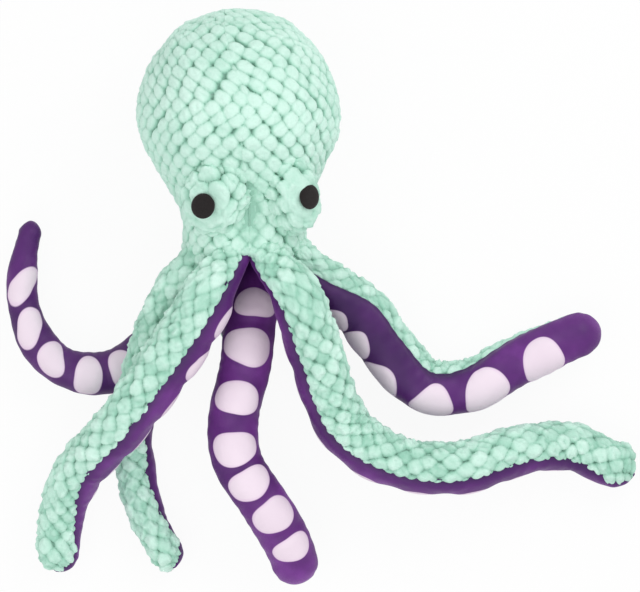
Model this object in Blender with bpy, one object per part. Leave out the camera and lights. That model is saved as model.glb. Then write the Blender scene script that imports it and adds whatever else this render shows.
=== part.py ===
"""Plush octopus lying on its back: a stuffed head of two sewn halves and eight stuffed arms.

Metres. +Z is up, towards the face, +Y towards the crown and +X to the right of the face as it is looked at.
The origin is on the flat at the back of the head. Each arm has a plush top, a smooth underside and a filling,
and each of them is split at the arm's main bend. An arm turns at its root and at that bend.
"""

from math import cos, pi, radians, sin, sqrt

import bmesh
import bpy
from mathutils import Matrix, Vector

# Head
HEAD_WIDTH = 0.117
CROWN_REACH = 0.0615
WAIST_REACH = 0.064
NECK_REACH = 0.078
NECK_WIDTH = 0.076
NECK_HEIGHT = 0.042
NECK_SHIFT = 0.0057
BACK_FLAT_DEPTH = 0.0005
SEAM_TO_REST = 0.0014

# Fabrics and clearances
PLUSH_THICKNESS = 0.0026
KNIT_THICKNESS = 0.0016
GAP = 0.0003
FILLING_GAP = 0.0007
ROOT_CLEARANCE = 0.0008
OVERRUN = 0.02

# Arms
ARM_LENGTH = 0.280
ARM_WIDTH = 0.0300
ROOT_SWELL = 0.050
ROOT_DEGREES = 40
BEND_DEGREES = 30
ARMS_IN_RING = 8

# Eyes
EYE_WIDTH = 0.0146
EYE_THICKNESS = 0.0040
MOUND_WIDTH = 0.037
MOUND_LENGTH = 0.046
MOUND_RISE = 0.0095
MOUND_DEPTH = 0.0060

# Counts
SIDES = 5
INNER_RINGS = 5
OUTER_RINGS = 5
END_RINGS = 2
HEAD_SIDES = 8
CROWN_RINGS = 5
WAIST_RINGS = 6
ROUTE_STEPS = 24
BALL_SEGMENTS = 14
BALL_RINGS = 8
DISC_SEGMENTS = 24
OVAL_SEGMENTS = 16
OVAL_RINGS = 8

HERE = Vector((0.0, 0.0, 0.0))
RIGHT = Vector((1.0, 0.0, 0.0))
FORWARD = Vector((0.0, 1.0, 0.0))
UP = Vector((0.0, 0.0, 1.0))

MINT = (0.62, 0.88, 0.78, 1.0)
PURPLE = (0.105, 0.028, 0.205, 1.0)
BLACK = (0.018, 0.014, 0.014, 1.0)
WHITE = (0.80, 0.80, 0.78, 1.0)

# One row for each arm, in the order of the ring round the neck, anticlockwise from the right as the ring is seen
# from the arms. route_shares: places to the right of the neck's centre and below the neck, as shares of
# ARM_LENGTH. height_shares: height of the middle at those places, as shares of ARM_WIDTH. width_share: its width
# as a share of ARM_WIDTH. bend_share: where it bends, as a share of its length. underside_shares: (share of the
# length, direction that the underside faces as a share of a full turn: 0.25 is up, 0 is the arm's right).
ARMS = {
    "side_right": {
        "route_shares": ((0.148, 0.050), (0.228, 0.114), (0.285, 0.191), (0.356, 0.263), (0.448, 0.263),
                         (0.570, 0.202), (0.712, 0.148)),
        "height_shares": (1.66, 1.26, 0.82, 0.54, 0.53, 0.53, 0.50),
        "width_share": 0.98,
        "bend_share": 0.55,
        "underside_shares": ((0.0, 0.10), (0.50, 0.10), (1.0, 0.26)),
    },
    "front_right": {
        "route_shares": ((0.080, 0.085), (0.126, 0.200), (0.190, 0.338), (0.289, 0.407), (0.418, 0.424),
                         (0.550, 0.389), (0.662, 0.386), (0.784, 0.444)),
        "height_shares": (2.40, 2.00, 1.44, 1.33, 1.29, 0.92, 0.54, 0.46),
        "width_share": 1.02,
        "bend_share": 0.42,
        "underside_shares": ((0.0, 0.94), (0.5, 0.92), (1.0, 0.90)),
    },
    "front_left": {
        "route_shares": ((-0.085, 0.085), (-0.157, 0.191), (-0.255, 0.326), (-0.352, 0.436), (-0.386, 0.534),
                         (-0.397, 0.644)),
        "height_shares": (2.50, 2.30, 1.90, 1.14, 0.66, 0.46),
        "width_share": 1.06,
        "bend_share": 0.52,
        "underside_shares": ((0.0, 0.56), (0.5, 0.56), (1.0, 0.60)),
    },
    "side_left": {
        "route_shares": ((-0.160, 0.078), (-0.200, 0.177), (-0.235, 0.289), (-0.240, 0.415), (-0.212, 0.534),
                         (-0.156, 0.638)),
        "height_shares": (1.56, 1.32, 0.96, 0.42, 0.40, 0.38),
        "width_share": 0.78,
        "bend_share": 0.50,
        "underside_shares": ((0.0, 0.60), (0.5, 0.62), (1.0, 0.62)),
    },
    "low_left": {
        "route_shares": ((-0.125, 0.085), (-0.200, 0.185), (-0.285, 0.239), (-0.377, 0.226), (-0.441, 0.153),
                         (-0.462, 0.050), (-0.447, -0.066)),
        "height_shares": (0.80, 0.42, 0.40, 0.40, 0.40, 0.36, 0.34),
        "width_share": 0.78,
        "bend_share": 0.48,
        "underside_shares": ((0.0, 0.25), (0.6, 0.25), (1.0, 0.22)),
    },
    "back_left": {
        "route_shares": ((-0.050, 0.085), (-0.014, 0.200), (-0.032, 0.310), (-0.032, 0.402), (0.006, 0.480)),
        "height_shares": (0.36, 0.34, 0.34, 0.34, 0.34),
        "width_share": 0.66,
        "bend_share": 0.50,
        "underside_shares": ((0.0, 0.25), (1.0, 0.25)),
    },
    "back_right": {
        "route_shares": ((0.010, 0.085), (-0.006, 0.207), (-0.031, 0.318), (-0.027, 0.415), (0.026, 0.500),
                         (0.077, 0.590), (0.102, 0.664)),
        "height_shares": (0.94, 1.22, 1.18, 1.16, 1.12, 0.78, 0.50),
        "width_share": 0.93,
        "bend_share": 0.55,
        "underside_shares": ((0.0, 0.25), (1.0, 0.25)),
    },
    "low_right": {
        "route_shares": ((0.124, 0.090), (0.138, 0.196), (0.190, 0.330), (0.285, 0.402), (0.385, 0.424),
                         (0.470, 0.412)),
        "height_shares": (0.66, 0.38, 0.37, 0.37, 0.37, 0.37),
        "width_share": 0.72,
        "bend_share": 0.46,
        "underside_shares": ((0.0, 0.25), (1.0, 0.25)),
    },
}
ROOT_ANGLE_SHARES = {
    name: (place + 0.5) / ARMS_IN_RING for place, name in enumerate(ARMS)
}
TIP_WIDTH_SHARE = 0.82
START_LEAN_SHARE = 0.8

# Mounds: (place to the right of the neck's centre and up from the neck, as shares of the neck's width, lean to
# the right as a share of a full turn, width as a share of the left one's). Eyes: (place up from the mound's
# middle as a share of the mound's length, lean to the right as a share of a full turn).
MOUND_SHARES = {"left": (-0.260, 0.437, -0.055, 1.0), "right": (0.342, 0.440, 0.105, 0.86)}
EYE_SHARES = {"left": (-0.075, -0.070), "right": (0.0, 0.125)}


def clear_scene():
    """Remove what the file opened with."""
    for thing in list(bpy.data.objects):
        bpy.data.objects.remove(thing, do_unlink=True)


def collection(name):
    """A new collection in the scene."""
    made = bpy.data.collections.new(name)
    bpy.context.scene.collection.children.link(made)
    return made


def material(name, colour, roughness):
    """A plain material of its own for one piece."""
    made = bpy.data.materials.new(name)
    made.use_nodes = True
    shader = made.node_tree.nodes["Principled BSDF"]
    shader.inputs["Base Color"].default_value = colour
    shader.inputs["Roughness"].default_value = roughness
    shader.inputs["Metallic"].default_value = 0.0
    return made


def place(name, mesh, where, pivot, colour=None, roughness=0.9):
    """Put a mesh made in world places into the scene, with its origin on its pivot."""
    mesh.transform(Matrix.Translation(-pivot))
    mesh.shade_smooth()
    made = bpy.data.objects.new(name, mesh)
    made.location = pivot
    where.objects.link(made)
    if colour:
        mesh.materials.append(material(name, colour, roughness))
    return made


def cutter(name, mesh, where, pivot):
    """A mesh that only cuts others."""
    made = place(name, mesh, where, pivot)
    made.hide_render = True
    made.display_type = "WIRE"
    return made


def cut(thing, other):
    """Take the other's solid out of this one."""
    tool = thing.modifiers.new("cut by " + other.name, "BOOLEAN")
    tool.operation = "DIFFERENCE"
    tool.object = other


def ease(t):
    """A smooth step from 0 to 1."""
    t = min(max(t, 0.0), 1.0)
    return t * t * (3.0 - 2.0 * t)


def between(table, share):
    """Read a table of (share, value) rows, smoothly between its rows."""
    for (low, start), (high, end) in zip(table, table[1:]):
        if share <= high:
            return start + (end - start) * ease((share - low) / (high - low))
    return table[-1][1]


def lofted(rows):
    """A closed skin through rows of points, each a closed outline. Points of a row that fall together are one
    corner, so a row can close to a point or to a line, and a row that doesn't is closed by a flat face."""
    build = bmesh.new()
    corners = []
    for row in rows:
        made = {}
        for point in row:
            key = tuple(round(value / GAP, 1) for value in point)
            if key not in made:
                made[key] = build.verts.new(point)
        corners.append([made[tuple(round(value / GAP, 1) for value in point)] for point in row])
    for low, high in zip(corners, corners[1:]):
        for i in range(len(low)):
            j = (i + 1) % len(low)
            face = list(dict.fromkeys([low[i], high[i], high[j], low[j]]))
            if len(face) > 2:
                build.faces.new(face)
    for row in (corners[0], corners[-1][::-1]):
        if len(set(row)) > 2:
            build.faces.new(row)
    mesh = bpy.data.meshes.new("loft")
    build.to_mesh(mesh)
    build.free()
    return mesh


class Route:
    """A smooth line through points, measured along its length."""

    def __init__(self, points, start):
        ahead = (points[1] - points[0]).length
        ends = [points[0] - start * ahead] + list(points) + [points[-1] * 2 - points[-2]]
        self.points = [points[0]]
        for before, start, end, after in zip(ends, ends[1:], ends[2:], ends[3:]):
            for step in range(1, ROUTE_STEPS + 1):
                self.points.append(self.blend(before, start, end, after, step / ROUTE_STEPS))
        self.lengths = [0.0]
        for start, end in zip(self.points, self.points[1:]):
            self.lengths.append(self.lengths[-1] + (end - start).length)
        self.length = self.lengths[-1]

    @staticmethod
    def blend(before, start, end, after, t):
        """A Catmull-Rom stretch between two of the points."""
        straight = start * 2 + (end - before) * t
        bend = (before * 2 - start * 5 + end * 4 - after) * t * t
        twist = (start * 3 - before - end * 3 + after) * t * t * t
        return (straight + bend + twist) / 2

    def at(self, along):
        """The place at a length along the line."""
        along = min(max(along, 0.0), self.length)
        i = 1
        while self.lengths[i] < along and i < len(self.lengths) - 1:
            i += 1
        t = (along - self.lengths[i - 1]) / (self.lengths[i] - self.lengths[i - 1])
        return self.points[i - 1].lerp(self.points[i], t)

    def heading(self, along):
        """The direction of the line there, as a unit vector."""
        near = self.length / len(self.points)
        return (self.at(along + near) - self.at(along - near)).normalized()


class Arm:
    """The line, thickness, seams and joints of one arm."""

    def __init__(self, name, head):
        table = ARMS[name]
        angle = 2 * pi * ROOT_ANGLE_SHARES[name]
        self.name = name
        self.width_share = table["width_share"]
        self.underside_shares = table["underside_shares"]
        self.root_radius = head.root_radius
        self.root = head.neck + Vector((cos(angle), 0.0, sin(angle))) * head.ring_radius
        points = [self.root]
        for (right, down), height in zip(table["route_shares"], table["height_shares"]):
            place_at = Vector((right * ARM_LENGTH, -down * ARM_LENGTH, height * ARM_WIDTH))
            points.append(place_at + Vector((head.neck.x, head.neck.y, 0.0)))
        outwards = RIGHT * (cos(angle) * START_LEAN_SHARE)
        self.route = Route(points, (outwards - FORWARD).normalized())
        self.bend_at = self.route.length * table["bend_share"]
        self.bend = self.route.at(self.bend_at)
        self.bend_radius = self.radius(self.bend_at)
        self.tip_radius = ARM_WIDTH * self.width_share * TIP_WIDTH_SHARE / 2
        self.tip_at = self.route.length - self.tip_radius

    def radius(self, along):
        """Half the arm's thickness at a length along it."""
        full = ARM_WIDTH * self.width_share / 2
        share = along / self.route.length
        full *= 1.0 + (TIP_WIDTH_SHARE - 1.0) * share
        return self.root_radius + (full - self.root_radius) * ease(along / ROOT_SWELL)

    def frame(self, along):
        """Centre, heading, the side to the arm's right and the side that is up."""
        heading = self.route.heading(along)
        right = heading.cross(Vector((0.0, 0.0, 1.0))).normalized()
        return self.route.at(along), heading, right, right.cross(heading)

    def ring(self, along, sink, ball=None, end=1.0):
        """One ring, drawn in by sink: its centre, the sides at no turn and at a quarter turn, its radius and how
        far the underside is turned. A ball is the angle up a round end."""
        centre, heading, right, up = self.frame(along)
        radius = self.radius(along) - sink
        turn = 2 * pi * between(self.underside_shares, along / self.route.length)
        if ball is not None:
            centre = centre + heading * (end * radius * sin(ball))
            radius = radius * cos(ball)
        return centre, right, up, radius, turn

    def stretch(self, first, last, count, round_end, sink):
        """Rings from one place along the arm to another: the start is round, and so is the end if asked."""
        steps = [pi / 2 * (END_RINGS + 1 - i) / (END_RINGS + 1) for i in range(END_RINGS + 1)]
        made = [self.ring(first, sink, ball, -1.0) for ball in steps]
        made += [self.ring(first + (last - first) * i / count, sink) for i in range(count + 1)]
        if round_end:
            made += [self.ring(last, sink, ball, 1.0) for ball in reversed(steps)]
        return made

    def rings(self, stretch, sink=0.0):
        """The rings of the inner or of the outer stretch."""
        if stretch == "inner":
            inner_end = self.bend_at - (self.bend_radius + GAP) * sin(radians(BEND_DEGREES))
            return self.stretch(0.0, inner_end, INNER_RINGS, False, sink)
        return self.stretch(self.bend_at, self.tip_at, OUTER_RINGS, True, sink)


def arc(ring, start, end, sides):
    """Points on a ring between two angles."""
    centre, right, up, radius, turn = ring
    angles = [turn + start + (end - start) * i / sides for i in range(sides + 1)]
    return [centre + (right * cos(angle) + up * sin(angle)) * radius for angle in angles]


def half_shell(outer, inner, middle, sides):
    """One fabric of a stuffed form: a half tube between two sets of rings, its middle at the given angle, and
    half a gap clear of the seam plane that it shares with the other half."""
    rows = []
    for skin, lining in zip(outer, inner):
        _, right, up, _, turn = skin
        away = (right * cos(turn + middle) + up * sin(turn + middle)) * (GAP / 2)
        row = arc(skin, middle - pi / 2, middle + pi / 2, sides)
        row += arc(lining, middle + pi / 2, middle - pi / 2, sides)
        rows.append([point + away for point in row])
    return lofted(rows)


def stuffing(behind_first, behind_second, sides):
    """A filling whose first half circle lies behind one fabric and the second behind the other."""
    rows = []
    for first, second in zip(behind_first, behind_second):
        row = arc(first, -pi / 2, pi / 2, sides)[1:-1]
        rows.append(row + arc(second, pi / 2, 3 * pi / 2, sides))
    return lofted(rows)


def arm_pieces(arm, where, cutters):
    """The plush top, the underside and the filling of both stretches of one arm."""
    socket = cutter(arm.name + "_bend_socket", ball_mesh(arm.bend, arm.bend_radius + GAP), cutters, arm.bend)
    for stretch, pivot in (("inner", arm.root), ("outer", arm.bend)):
        stem = arm.name + "_" + stretch
        outer = arm.rings(stretch)
        top = half_shell(outer, arm.rings(stretch, PLUSH_THICKNESS), pi, SIDES)
        top = place(stem + "_top", top, where, pivot, MINT, 0.95)
        under = half_shell(outer, arm.rings(stretch, KNIT_THICKNESS), 0.0, SIDES)
        under = place(stem + "_underside", under, where, pivot, PURPLE, 0.6)
        behind_knit = arm.rings(stretch, KNIT_THICKNESS + FILLING_GAP)
        behind_plush = arm.rings(stretch, PLUSH_THICKNESS + FILLING_GAP)
        core = place(stem + "_filling", stuffing(behind_knit, behind_plush, SIDES), where, pivot, WHITE, 1.0)
        if stretch == "inner":
            for piece in (top, under, core):
                cut(piece, socket)


def ball_mesh(centre, radius):
    """A ball of few faces, none of which comes closer to its middle than the radius."""
    build = bmesh.new()
    outside = radius / (cos(pi / BALL_SEGMENTS) * cos(pi / 2 / BALL_RINGS))
    bmesh.ops.create_uvsphere(build, u_segments=BALL_SEGMENTS, v_segments=BALL_RINGS, radius=outside)
    bmesh.ops.translate(build, verts=build.verts, vec=centre)
    mesh = bpy.data.meshes.new("ball")
    build.to_mesh(mesh)
    build.free()
    return mesh


class Head:
    """The line and the widths of the head, from the crown down to the neck."""

    def __init__(self):
        self.seam_x = -SEAM_TO_REST
        self.belly_height = HEAD_WIDTH / 2 - BACK_FLAT_DEPTH
        self.neck = Vector((self.seam_x + NECK_SHIFT, -NECK_REACH, NECK_HEIGHT))
        share = sin(pi / ARMS_IN_RING)
        self.ring_radius = NECK_WIDTH / 2 / (1 + share)
        self.root_radius = self.ring_radius * share - ROOT_CLEARANCE / 2
        self.end_y = -NECK_REACH + self.root_radius * sin(radians(ROOT_DEGREES))

    def radius(self, y):
        """Half the head's width: a quarter ellipse above the widest place and a soft waist below it."""
        if y > 0:
            return HEAD_WIDTH / 2 * sqrt(max(1 - (y / CROWN_REACH) ** 2, 0.0))
        low = NECK_WIDTH / 2
        return low + (HEAD_WIDTH / 2 - low) * (1 + cos(pi * min(-y / WAIST_REACH, 1.0))) / 2

    def centre(self, y):
        """The middle of the head there: its axis drops towards the neck, so that the back lies nearly flat."""
        drop = ease(max(-y, 0.0) / NECK_REACH)
        return Vector((
            self.seam_x + (self.neck.x - self.seam_x) * drop,
            y,
            self.belly_height + (self.neck.z - self.belly_height) * drop,
        ))

    def places(self):
        """Places along the axis from the crown down, closer together where the crown turns over."""
        above = [CROWN_REACH * cos(pi / 2 * i / CROWN_RINGS) for i in range(CROWN_RINGS)]
        return above + [self.end_y * i / WAIST_RINGS for i in range(WAIST_RINGS + 1)]

    def rings(self, sink=0.0, longer=0.0):
        """Rings of the head's skin, drawn in by sink, in the same form as an arm's."""
        made = []
        for y in self.places():
            inside = y * (1 - sink / CROWN_REACH) if y > 0 else y
            radius = max(self.radius(y) - sink, 0.0) if y < CROWN_REACH else 0.0
            made.append((self.centre(inside), UP, RIGHT, radius, pi / 2))
        if longer:
            centre, _, _, radius, turn = made[-1]
            made.append((centre - Vector((0.0, longer, 0.0)), UP, RIGHT, radius, turn))
        return made


def box_mesh(size, middle):
    """A box."""
    build = bmesh.new()
    bmesh.ops.create_cube(build, size=1.0)
    bmesh.ops.scale(build, verts=build.verts, vec=size)
    bmesh.ops.translate(build, verts=build.verts, vec=middle)
    mesh = bpy.data.meshes.new("box")
    build.to_mesh(mesh)
    build.free()
    return mesh


def disc_mesh(radius, thickness, middle):
    """A flat disc that faces along Y."""
    build = bmesh.new()
    bmesh.ops.create_cone(
        build, cap_ends=True, segments=DISC_SEGMENTS, radius1=radius, radius2=radius, depth=thickness
    )
    bmesh.ops.rotate(build, verts=build.verts, cent=HERE, matrix=Matrix.Rotation(pi / 2, 3, "X"))
    bmesh.ops.translate(build, verts=build.verts, vec=middle)
    mesh = bpy.data.meshes.new("disc")
    build.to_mesh(mesh)
    build.free()
    return mesh


def head_pieces(head, arms, where, cutters):
    """Both skins, the filling and the base panel, cut where the arms' round roots sit in them."""
    below = Vector((0.0, 0.0, -OVERRUN / 2))
    floor = cutter("rest_plane", box_mesh((HEAD_WIDTH, HEAD_WIDTH * 2, OVERRUN), below), cutters, HERE)
    outer = head.rings()
    lining = head.rings(PLUSH_THICKNESS)
    core = head.rings(PLUSH_THICKNESS + FILLING_GAP)
    base = Vector((head.neck.x, head.end_y - GAP - KNIT_THICKNESS / 2, head.neck.z))
    disc = disc_mesh(head.ring_radius - head.root_radius - GAP, KNIT_THICKNESS, base)
    pieces = [
        place("head_right_panel", half_shell(outer, lining, 0.0, HEAD_SIDES), where, HERE, MINT, 0.95),
        place("head_left_panel", half_shell(outer, lining, pi, HEAD_SIDES), where, HERE, MINT, 0.95),
        place("head_filling", stuffing(core, core, HEAD_SIDES), where, HERE, WHITE, 1.0),
        place("base_panel", disc, where, HERE, PURPLE, 0.6),
    ]
    for panel in pieces[:2]:
        cut(panel, floor)
    for arm in arms:
        socket = cutter(arm.name + "_root_socket", ball_mesh(arm.root, arm.root_radius + GAP), cutters, arm.root)
        for piece in pieces:
            cut(piece, socket)


def oval(centre, size, lean, grow=0.0):
    """An oval ball of three widths, leaned to the right round the head's axis."""
    build = bmesh.new()
    bmesh.ops.create_uvsphere(build, u_segments=OVAL_SEGMENTS, v_segments=OVAL_RINGS, radius=1.0)
    bmesh.ops.scale(build, verts=build.verts, vec=[width / 2 + grow for width in size])
    turn = Matrix.Rotation(2 * pi * lean, 3, "Y")
    bmesh.ops.rotate(build, verts=build.verts, cent=HERE, matrix=turn)
    bmesh.ops.translate(build, verts=build.verts, vec=centre)
    mesh = bpy.data.meshes.new("oval")
    build.to_mesh(mesh)
    build.free()
    return mesh


def face_pieces(head, where, cutters):
    """The eye mounds, seated on the head, and the eyes, seated on the mounds."""
    skull = head.rings(-GAP, OVERRUN)
    skull = cutter("head_form", stuffing(skull, skull, HEAD_SIDES), cutters, HERE)
    for side in ("left", "right"):
        right, up, lean, wide = MOUND_SHARES[side]
        y = head.neck.y + up * NECK_WIDTH
        normal = Vector((sin(2 * pi * lean), 0.0, cos(2 * pi * lean)))
        across = head.neck.x + right * NECK_WIDTH
        middle = head.centre(y)
        rise = sqrt(head.radius(y) ** 2 - (across - middle.x) ** 2)
        centre = Vector((across, y, middle.z + rise)) - normal * MOUND_DEPTH
        size = (MOUND_WIDTH * wide, MOUND_LENGTH, (MOUND_DEPTH + MOUND_RISE) * 2)
        mound = place(side + "_eye_mound", oval(centre, size, lean), where, HERE, MINT, 0.95)
        cut(mound, skull)
        shell = cutter(side + "_mound_form", oval(centre, size, lean, GAP), cutters, HERE)
        up, lean = EYE_SHARES[side]
        gaze = Vector((sin(2 * pi * lean), 0.0, cos(2 * pi * lean)))
        seat = centre + gaze * (size[2] / 2) + FORWARD * (up * MOUND_LENGTH)
        size = (EYE_WIDTH, EYE_WIDTH, EYE_THICKNESS)
        eye = place(side + "_eye", oval(seat, size, lean), where, HERE, BLACK, 0.8)
        cut(eye, shell)


def build_octopus():
    """Make every piece."""
    clear_scene()
    pieces = collection("plush_octopus")
    cutters = collection("cutters")
    head = Head()
    arms = [Arm(name, head) for name in ARMS]
    head_pieces(head, arms, pieces, cutters)
    face_pieces(head, pieces, cutters)
    for arm in arms:
        arm_pieces(arm, pieces, cutters)


build_octopus()
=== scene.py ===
"""The plush octopus as it looks: bubble plush, stretch knit with pale discs, felt eyes and stuffing.

Metres, +Z up, in the place of the model that it dresses. Every fabric is a grid of places along the piece
and round it, worked out as whole arrays.
"""

from math import cos, pi, radians, sin, tau

import bpy
import numpy as np
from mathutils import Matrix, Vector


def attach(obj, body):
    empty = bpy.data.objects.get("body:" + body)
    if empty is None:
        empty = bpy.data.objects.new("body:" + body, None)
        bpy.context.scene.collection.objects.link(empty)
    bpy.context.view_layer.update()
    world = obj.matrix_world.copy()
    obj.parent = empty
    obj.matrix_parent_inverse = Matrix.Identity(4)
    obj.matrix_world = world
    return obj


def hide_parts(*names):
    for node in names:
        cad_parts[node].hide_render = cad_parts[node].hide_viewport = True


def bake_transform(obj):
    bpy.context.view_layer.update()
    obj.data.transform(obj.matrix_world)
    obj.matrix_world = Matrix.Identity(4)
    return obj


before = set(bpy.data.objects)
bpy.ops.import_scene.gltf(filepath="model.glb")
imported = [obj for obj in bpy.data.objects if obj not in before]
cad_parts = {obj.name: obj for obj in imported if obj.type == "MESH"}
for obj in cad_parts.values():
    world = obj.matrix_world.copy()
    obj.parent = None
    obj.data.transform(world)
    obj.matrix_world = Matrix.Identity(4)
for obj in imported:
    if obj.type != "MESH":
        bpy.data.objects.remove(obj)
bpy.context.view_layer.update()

MM = 0.001

# Sizes of the head, the arms and the eyes, as in the model
HEAD_WIDTH = 0.117
CROWN_REACH = 0.0615
WAIST_REACH = 0.064
NECK_REACH = 0.078
NECK_WIDTH = 0.076
NECK_HEIGHT = 0.042
NECK_SHIFT = 0.0057
BACK_FLAT_DEPTH = 0.0005
SEAM_TO_REST = 0.0014
ROOT_CLEARANCE = 0.0008
ARM_LENGTH = 0.28
ARM_WIDTH = 0.03
ARMS_IN_RING = 8
START_LEAN_SHARE = 0.8
EYE_WIDTH = 0.0146
EYE_THICKNESS = 0.004
MOUND_WIDTH = 0.037
MOUND_LENGTH = 0.046
MOUND_RISE = 0.0095
MOUND_DEPTH = 0.006
# Where a mound sits (right of the neck, above it), its lean in turns and its width as a share
MOUND_SHARES = {"left": (-0.26, 0.437, -0.055, 1.0), "right": (0.342, 0.44, 0.105, 0.86)}
# How far above its mound's middle an eye sits, and its lean in turns
EYE_SHARES = {"left": (-0.075, -0.070), "right": (0.0, 0.125)}

# The arms, as in the model or a few millimetres beside it. points: right of the neck and below it in arm
# lengths, and the height in arm widths. width, taper: the arm's width as a share, and its tip's as a share of
# that. swell: the length in which it swells from its root. wrap: how much further round the plush goes at the
# tip, in turns. tuck: how far the plush draws back. nap: how dark a painted shadow makes the knit,
# and how far along it reaches. bend: its place as a share of the length. underside: (share of the length,
# which way it faces in turns).
ARM_DEFAULTS = {
    "taper": 0.82, "swell": 0.034, "wrap": 0, "tuck": 0, "nap": (0, 0), "underside": ((0, 0.25), (1, 0.25)),
}
ARMS = {
    "side_right": {
        "points": ((0.148, 0.05, 1.47), (0.228, 0.114, 1), (0.285, 0.191, 0.72), (0.356, 0.263, 0.54),
                   (0.448, 0.263, 0.53), (0.57, 0.202, 0.53), (0.712, 0.148, 0.5)),
        "width": 1.05, "swell": 0.06, "nap": (0.75, 0.105), "tuck": 0.5, "bend": 0.55,
        "underside": ((0, -0.02), (0.3, 0.1), (0.5, 0.1), (1, 0.26)),
    },
    "front_right": {
        "points": ((0.097, 0.085, 2.52), (0.138, 0.2, 2.12), (0.19, 0.341, 1.5), (0.286, 0.413, 1.33),
                   (0.417, 0.431, 1.29), (0.55, 0.395, 0.92), (0.662, 0.391, 0.54), (0.784, 0.446, 0.46)),
        "width": 1.02, "swell": 0.044, "wrap": 0.14, "bend": 0.42,
        "underside": ((0, 0.84), (0.25, 0.885), (0.5, 0.915), (0.8, 0.9), (1, 0.87)),
    },
    "front_left": {
        "points": ((-0.085, 0.085, 2.5), (-0.151, 0.192, 2.3), (-0.249, 0.328, 1.9), (-0.349, 0.437, 1.14),
                   (-0.386, 0.534, 0.66), (-0.397, 0.644, 0.46)),
        "width": 1.03, "taper": 0.75, "wrap": 0.14, "bend": 0.52,
        "underside": ((0, 0.58), (0.3, 0.565), (0.7, 0.57), (1, 0.66)),
    },
    "side_left": {
        "points": ((-0.16, 0.078, 1.56), (-0.2, 0.177, 1.32), (-0.235, 0.289, 0.99), (-0.24, 0.415, 0.42),
                   (-0.212, 0.534, 0.4), (-0.156, 0.638, 0.38)),
        "width": 0.78, "wrap": 0.14, "bend": 0.5,
        "underside": ((0, 0.6), (0.7, 0.63), (1, 0.7)),
    },
    "low_left": {
        "points": ((-0.125, 0.085, 0.78), (-0.2, 0.183, 0.38), (-0.285, 0.239, 0.37), (-0.38, 0.229, 0.38),
                   (-0.447, 0.156, 0.39), (-0.469, 0.05, 0.36), (-0.447, -0.066, 0.34)),
        "width": 0.96, "taper": 0.5, "swell": 0.075, "nap": (0.6, 0.17), "tuck": 0.8, "bend": 0.48,
        "underside": ((0, 0.25), (0.6, 0.25), (1, 0.22)),
    },
    "back_left": {
        "points": ((-0.05, 0.085, 0.36), (-0.014, 0.2, 0.34), (-0.032, 0.31, 0.34), (-0.032, 0.402, 0.34),
                   (0.006, 0.48, 0.34)),
        "width": 0.66, "swell": 0.02, "bend": 0.5,
    },
    "back_right": {
        "points": ((0.01, 0.085, 0.94), (-0.006, 0.207, 1.22), (-0.031, 0.318, 1.18), (-0.027, 0.415, 1.16),
                   (0.026, 0.5, 1.12), (0.077, 0.59, 0.78), (0.102, 0.664, 0.5)),
        "width": 1.02, "taper": 0.92, "tuck": 1, "bend": 0.55,
    },
    "low_right": {
        "points": ((0.124, 0.09, 0.5), (0.138, 0.196, 0.37), (0.19, 0.33, 0.37), (0.285, 0.402, 0.37),
                   (0.385, 0.424, 0.37), (0.47, 0.412, 0.37)),
        "width": 0.72, "bend": 0.46,
    },
}

DISC_SPACING = 27 * MM
DISC_HALF = 10.5 * MM
FIRST_DISC, LAST_DISC = 18 * MM, 24 * MM

# The pale discs that show, in millimetres: (along the arm, round it from the middle of the underside, half
# length, half width), and where a disc lies aslant the degrees of its turn
DISCS = {
    "back_right": (
        (36, 1.2, 8, 12.2), (59.4, -0.3, 9.2, 13.8), (86.5, 0.5, 9.9, 12.6), (116.4, 1.2, 10.1, 12.5),
        (138, 0, 8, 12.6), (157.6, 1.6, 8.3, 12.2), (178.8, 1.6, 7.6, 11),
    ),
    "low_left": (
        (64, 1, 8.4, 11), (85, 0.4, 8, 11), (105.3, 1.2, 7.8, 11.4), (128.6, 0, 10.2, 7.2, -40),
        (150.8, 0.2, 11.6, 6.8, -30), (174.6, 0.2, 12.8, 5.9, -30),
    ),
    "side_right": (
        (41, -0.6, 11, 9, -30), (66, -1.8, 11.8, 9.4, -30), (92, -4.2, 12.4, 10.6, -30),
        (118.4, 3.8, 9.2, 11.6), (145.8, 1.9, 12.2, 13.2), (181.6, -4.4, 12.6, 13),
    ),
    "front_left": (
        (36, -4.8, 10, 11.5), (64, -4.6, 10.5, 11.5), (92, 1.5, 10.5, 11.5), (119, 3, 10.5, 11.5),
        (146, 3, 10, 11), (172, 3, 9.5, 10.5),
    ),
}

# The rings of bubbles on an eye mound: (how many, millimetres from the eye, half length, half width)
PETAL_RINGS = ((3, 3.4, 6, 5.4), (8, 11.5, 6.8, 5.4), (12, 21.5, 7.4, 6.2), (14, 33, 8, 8), (15, 46, 8, 9.6))
PETALS_FROM = {"left": -8.5 * MM, "right": 1 * MM}

# The eye mounds and the eyes
MOUND_TILT = radians(25)
MOUND_LIFT = 2.6 * MM
MOUND_STRETCH = 1.09
MOUND_PUFF_HEIGHT = 4.4 * MM
MOUND_PUFF_SINK = 2.9 * MM
MOUND_LUMPS, MOUND_LUMP_SIZE = 0.7 * MM, 22 * MM
MOUND_RUFFLE = 0.95 * MM
# Painted shade: the share by which the mounds' plush is drawn darker
MOUND_PAINTED_SHADE = 0.88
PETAL_REST = 0.85
EYE_TILT = radians(14)
EYE_PROUD = 0.5 * MM
EYE_OFFSETS = {"left": (-1.3 * MM, -2.8 * MM), "right": (0.4 * MM, -1.1 * MM)}

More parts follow.
